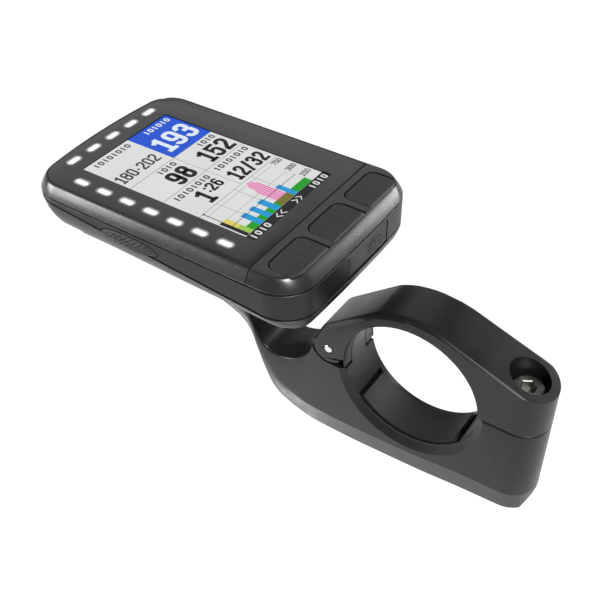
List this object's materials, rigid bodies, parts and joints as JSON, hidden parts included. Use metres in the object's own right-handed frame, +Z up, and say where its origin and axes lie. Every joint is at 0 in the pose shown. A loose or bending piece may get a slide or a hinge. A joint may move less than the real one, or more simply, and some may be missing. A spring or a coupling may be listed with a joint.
{
  "type": "cycling computer",
  "caption": "Handlebar cycling computer with a colour display, indicator lights and keys, held by a quarter-turn on an out-front arm with a hinged clamp.",
  "frame": {"origin": "centre of the handlebar bore, halfway across the clamp", "axes": "+X along the handlebar to the rider's right, +Y forward, away from the rider, +Z up"},
  "size_m": [0.0508, 0.1241, 0.0606],
  "materials": {
    "bezel": "satin gloss",
    "casing": "fine matt moulding",
    "keys": "matt, hatched",
    "seals": "matt rubber",
    "display_glass": "clear gloss",
    "display": "lit panel",
    "light_guide": "clear",
    "mount": "fine matt moulding",
    "pin_metal": "polished",
    "bolt_metal": "zinc plated",
    "screw_metal": "plated",
    "sleeve_brass": "turned",
    "board": "solder mask",
    "tinplate": "bright",
    "cell": "wrapped foil",
    "ceramic": "fired ceramic",
    "silicone": "moulded"
  },
  "bodies": {
    "mount": {"mount_arm": "mount", "mount_insert": "mount", "insert_screw_1": "screw_metal", "insert_screw_2": "screw_metal", "thread_sleeve": "sleeve_brass", "lower_liner": "seals", "hinge_pin": "pin_metal"},
    "strap": {"clamp_strap": "mount", "upper_liner": "seals", "bolt_washer": "bolt_metal"},
    "bolt": {"clamp_bolt": "bolt_metal"},
    "head_unit": {"front_cover": "bezel", "display_window": "display_glass", "button_panel": "bezel", "mid_frame": "casing", "rear_case": "casing", "case_gasket": "seals", "lcd_panel": "display", "lcd_frame": "seals", "light_guide_top": "light_guide", "light_guide_left": "light_guide", "keypad_membrane": "silicone", "main_board": "board", "power_switch": "tinplate", "up_switch": "tinplate", "down_switch": "tinplate", "shield_can": "tinplate", "gps_antenna": "ceramic", "battery": "cell", "buzzer": "casing", "usb_port": "tinplate", "case_screw_1": "screw_metal", "case_screw_2": "screw_metal", "case_screw_3": "screw_metal", "case_screw_4": "screw_metal", "turn_socket": "casing"},
    "usb_door": {"usb_cover": "seals"},
    "left_key": {"button_left": "keys"},
    "center_key": {"button_center": "keys"},
    "right_key": {"button_right": "keys"},
    "power_key": {"power_button": "keys"},
    "up_key": {"up_button": "keys"},
    "down_key": {"down_button": "keys"}
  },
  "joints": [
    {"name": "head_unit_turn", "type": "hinge", "parent": "mount", "child": "head_unit", "pos_m": [0, 0.056, 0.018], "axis": [0, 0, 1], "range_deg": [0, 90]},
    {"name": "strap_hinge", "type": "hinge", "parent": "mount", "child": "strap", "pos_m": [0, 0.021, 0.0012], "axis": [-1, 0, 0], "range_deg": [0, 15]},
    {"name": "bolt_withdraw", "type": "slide", "parent": "strap", "child": "bolt", "axis": [0, 0, 1], "range_m": [0, 0.0212]},
    {"name": "usb_cover_hinge", "type": "hinge", "parent": "head_unit", "child": "usb_door", "pos_m": [0.0034, 0.01785, 0.0234], "axis": [1, 0, 0], "range_deg": [0, 45]},
    {"name": "left_key_press", "type": "slide", "parent": "head_unit", "child": "left_key", "axis": [0, 0, -1], "range_m": [0, 0.0006], "stiffness_N_per_m": 1500, "springref_m": -0.0002},
    {"name": "center_key_press", "type": "slide", "parent": "head_unit", "child": "center_key", "axis": [0, 0, -1], "range_m": [0, 0.0006], "stiffness_N_per_m": 1500, "springref_m": -0.0002},
    {"name": "right_key_press", "type": "slide", "parent": "head_unit", "child": "right_key", "axis": [0, 0, -1], "range_m": [0, 0.0006], "stiffness_N_per_m": 1500, "springref_m": -0.0002},
    {"name": "power_key_press", "type": "slide", "parent": "head_unit", "child": "power_key", "axis": [1, 0, 0], "range_m": [0, 0.0005], "stiffness_N_per_m": 1500, "springref_m": -0.0002},
    {"name": "up_key_press", "type": "slide", "parent": "head_unit", "child": "up_key", "axis": [-1, 0, 0], "range_m": [0, 0.0005], "stiffness_N_per_m": 1500, "springref_m": -0.0002},
    {"name": "down_key_press", "type": "slide", "parent": "head_unit", "child": "down_key", "axis": [-1, 0, 0], "range_m": [0, 0.0005], "stiffness_N_per_m": 1500, "springref_m": -0.0002}
  ],
  "couplings": [
    {"joint": "bolt_withdraw", "follows": "strap_hinge", "m_per_rad": 0.08}
  ]
}
